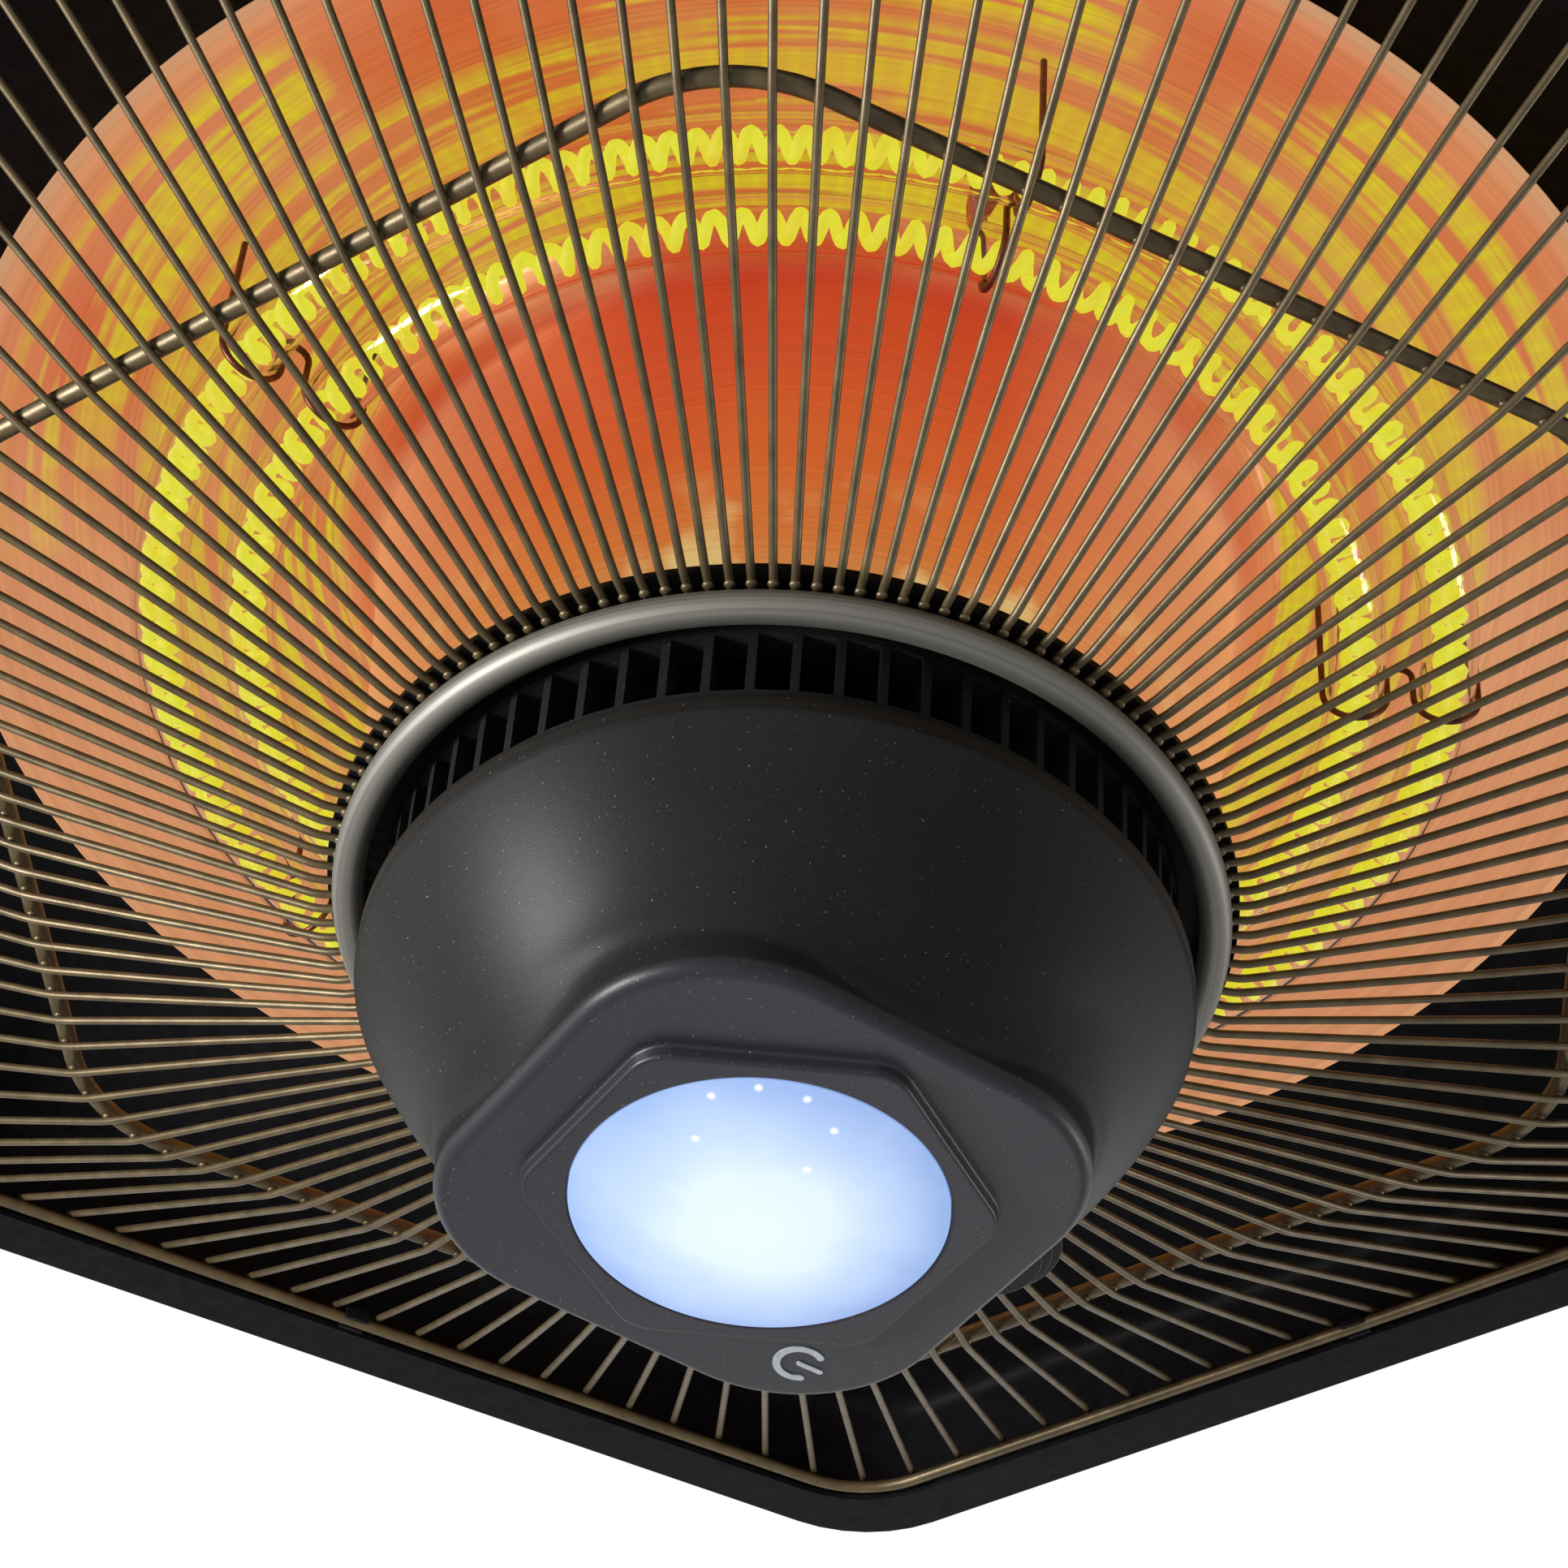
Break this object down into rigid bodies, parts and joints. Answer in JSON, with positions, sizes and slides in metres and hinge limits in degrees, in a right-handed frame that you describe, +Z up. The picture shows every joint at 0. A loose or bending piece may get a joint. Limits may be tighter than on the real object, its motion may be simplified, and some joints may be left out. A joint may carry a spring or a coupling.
{
  "type": "ceiling patio heater",
  "caption": "Hanging hexagonal patio heater with ring-shaped quartz tubes under a spun reflector, a welded wire guard and a lamp and control unit below",
  "frame": {"origin": "centre of the hole in the hanging lug", "axes": "+Z up; X along the lug's hole and the pivot pin; the casing has a corner on the Y axis"},
  "size_m": [0.53, 0.6012, 0.313],
  "materials": {
    "black_paint": "satin black stoved paint",
    "charcoal_plastic": "fine-textured charcoal",
    "black_plastic": "matte black",
    "frosted_lens": "frosted, lit from behind",
    "pale_inlay": "light grey inlay",
    "bronze_wire": "dark olive-bronze, heat stained",
    "satin_steel": "satin gunmetal",
    "polished_reflector": "spun and polished",
    "quartz": "clear",
    "filament": "glowing resistance wire",
    "ceramic": "white steatite",
    "glass_sleeve": "woven glass sleeve",
    "spring_wire": "dark spring wire",
    "mica": "pressed mica",
    "zinc_steel": "zinc plated",
    "seal_rubber": "matte silicone",
    "circuit_board": "green solder resist",
    "led_chip": "phosphor",
    "silicone_lead": "red-brown silicone insulation"
  },
  "bodies": {
    "hanger": {"hanging_lug": "zinc_steel"},
    "heater": {"outer_casing": "black_paint", "top_cover": "black_paint", "hub_plate": "black_paint", "grille_clips": "black_paint", "housing_bowl": "charcoal_plastic", "vent_ring": "charcoal_plastic", "cable_gland": "black_plastic", "gland_nut": "black_plastic", "control_parts": "black_plastic", "lens": "frosted_lens", "power_symbol": "pale_inlay", "grille_wires": "bronze_wire", "grille_lane_wires": "bronze_wire", "grille_support_wire": "bronze_wire", "grille_rim_wire": "bronze_wire", "grille_centre_ring": "satin_steel", "reflector": "polished_reflector", "reflector_drum": "polished_reflector", "outer_quartz_tube": "quartz", "inner_quartz_tube": "quartz", "outer_filament": "filament", "inner_filament": "filament", "tube_end_blocks": "ceramic", "terminal_block": "ceramic", "lead_sleeves": "glass_sleeve", "tube_clips": "spring_wire", "insulation_ring": "mica", "bowl_screws": "zinc_steel", "hub_screws": "zinc_steel", "led_board_screws": "zinc_steel", "control_board_screws": "zinc_steel", "standoffs": "zinc_steel", "standoff_screws": "zinc_steel", "reflector_rivets": "zinc_steel", "top_cover_screws": "zinc_steel", "hanger_clevis": "zinc_steel", "clevis_bolts": "zinc_steel", "clevis_nuts": "zinc_steel", "pivot_pin": "zinc_steel", "pivot_clips": "zinc_steel", "centre_tube": "zinc_steel", "upper_tube_nut": "zinc_steel", "lower_tube_nut": "zinc_steel", "thermal_cutout": "zinc_steel", "lens_gasket": "seal_rubber", "led_board": "circuit_board", "control_board": "circuit_board", "touch_sensor": "circuit_board", "leds": "led_chip", "wiring_harness": "silicone_lead"}
  },
  "joints": [
    {"name": "hanger_swing", "type": "hinge", "parent": "hanger", "child": "heater", "pos_m": [0, 0, -0.034], "axis": [1, 0, 0], "range_deg": [-20, 20]}
  ]
}
